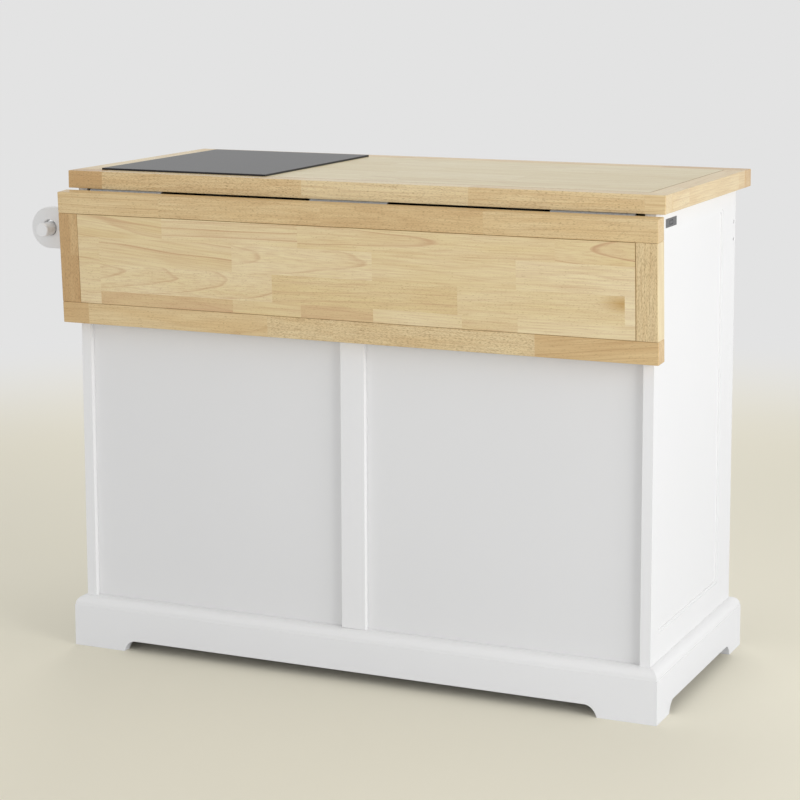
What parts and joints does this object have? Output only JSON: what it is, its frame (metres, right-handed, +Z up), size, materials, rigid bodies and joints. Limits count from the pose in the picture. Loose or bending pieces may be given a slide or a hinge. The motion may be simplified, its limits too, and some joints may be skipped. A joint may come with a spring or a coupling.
{
  "type": "drop leaf kitchen island",
  "caption": "Freestanding painted kitchen island with a hardwood worktop, folding leaf, drawers, doors and a side rail on a bracket plinth.",
  "frame": {"origin": "on the floor, at the underside of the middle foot, under the middle of the cabinet", "axes": "+X along the width towards the side rail, +Y from the doors towards the folding leaf, +Z up"},
  "size_m": [1.2385, 0.549, 0.9035],
  "materials": {
    "painted_board": "white satin lacquer on fibreboard",
    "hardwood_field": "finger-jointed pale hardwood staves, satin clear lacquer",
    "hardwood_rail": "finger-jointed hardwood strips, satin clear lacquer",
    "plain_softwood": "planed, unfinished",
    "black_glass": "black toughened glass, polished",
    "zinc_steel": "zinc plated",
    "brushed_nickel": "brushed nickel plate",
    "grey_coated_steel": "dark grey powder coat",
    "grey_plastic": "moulded, dark grey"
  },
  "bodies": {
    "cabinet": {"worktop_field": "hardwood_field", "worktop_rails": "hardwood_rail", "glass_plate": "black_glass", "side_panel_left": "painted_board", "side_panel_right": "painted_board", "centre_divider": "painted_board", "bottom_panel": "painted_board", "back_panel_left": "painted_board", "back_panel_right": "painted_board", "back_mullion": "painted_board", "back_batten": "painted_board", "face_frame_stiles": "painted_board", "face_frame_rails": "painted_board", "plinth_back": "painted_board", "plinth_front": "painted_board", "plinth_left": "painted_board", "plinth_right": "painted_board", "corner_blocks": "plain_softwood", "middle_foot": "plain_softwood", "top_blocks": "plain_softwood", "shelf_left": "painted_board", "shelf_right": "painted_board", "shelf_pins": "zinc_steel", "drawer_runners": "plain_softwood", "door_hinge_plates": "zinc_steel", "door_catches": "grey_plastic", "bearer_bar": "grey_coated_steel", "bearer_end_caps": "grey_plastic", "bar_keepers": "grey_plastic", "rail_brackets": "painted_board", "rail_pegs": "plain_softwood", "top_hinge_plates": "zinc_steel", "leaf_hinge_pins": "zinc_steel", "top_hinge_screws": "zinc_steel"},
    "leaf": {"leaf_field": "hardwood_field", "leaf_rails": "hardwood_rail", "leaf_hinge_plates": "zinc_steel", "leaf_hinge_screws": "zinc_steel", "bar_guides": "grey_coated_steel"},
    "bar_left": {"support_bar_left": "zinc_steel"},
    "bar_right": {"support_bar_right": "zinc_steel"},
    "drawer_left": {"drawer_front_left": "painted_board", "drawer_box_left": "plain_softwood", "drawer_knob_left": "brushed_nickel"},
    "drawer_right": {"drawer_front_right": "painted_board", "drawer_box_right": "plain_softwood", "drawer_knob_right": "brushed_nickel"},
    "rail": {"side_rail": "painted_board"},
    "door_1": {"door_1": "painted_board", "door_1_knob": "brushed_nickel", "door_1_hinges": "zinc_steel"},
    "door_2": {"door_2": "painted_board", "door_2_knob": "brushed_nickel", "door_2_hinges": "zinc_steel"},
    "door_3": {"door_3": "painted_board", "door_3_knob": "brushed_nickel", "door_3_hinges": "zinc_steel"},
    "door_4": {"door_4": "painted_board", "door_4_knob": "brushed_nickel", "door_4_hinges": "zinc_steel"}
  },
  "joints": [
    {"name": "leaf_fold", "type": "hinge", "parent": "cabinet", "child": "leaf", "pos_m": [0, 0.244, 0.864], "axis": [1, 0, 0], "range_deg": [0, 93.01]},
    {"name": "bar_left_slide", "type": "slide", "parent": "leaf", "child": "bar_left", "axis": [0, 0.0525, 0.9986], "range_m": [0, 0.11]},
    {"name": "bar_right_slide", "type": "slide", "parent": "leaf", "child": "bar_right", "axis": [0, 0.0525, 0.9986], "range_m": [0, 0.11]},
    {"name": "drawer_left_slide", "type": "slide", "parent": "cabinet", "child": "drawer_left", "axis": [0, -1, 0], "range_m": [0, 0.3]},
    {"name": "drawer_right_slide", "type": "slide", "parent": "cabinet", "child": "drawer_right", "axis": [0, -1, 0], "range_m": [0, 0.3]},
    {"name": "door_1_swing", "type": "hinge", "parent": "cabinet", "child": "door_1", "pos_m": [-0.516, -0.238, 0.4], "axis": [0, 0, -1], "range_deg": [0, 110]},
    {"name": "door_2_swing", "type": "hinge", "parent": "cabinet", "child": "door_2", "pos_m": [-0.0245, -0.238, 0.4], "axis": [0, 0, 1], "range_deg": [0, 85]},
    {"name": "door_3_swing", "type": "hinge", "parent": "cabinet", "child": "door_3", "pos_m": [0.0245, -0.238, 0.4], "axis": [0, 0, -1], "range_deg": [0, 85]},
    {"name": "door_4_swing", "type": "hinge", "parent": "cabinet", "child": "door_4", "pos_m": [0.516, -0.238, 0.4], "axis": [0, 0, 1], "range_deg": [0, 110]},
    {"name": "rail_spin", "type": "hinge", "parent": "cabinet", "child": "rail", "pos_m": [0.625, 0, 0.78805], "axis": [0, 1, 0], "continuous": true}
  ]
}
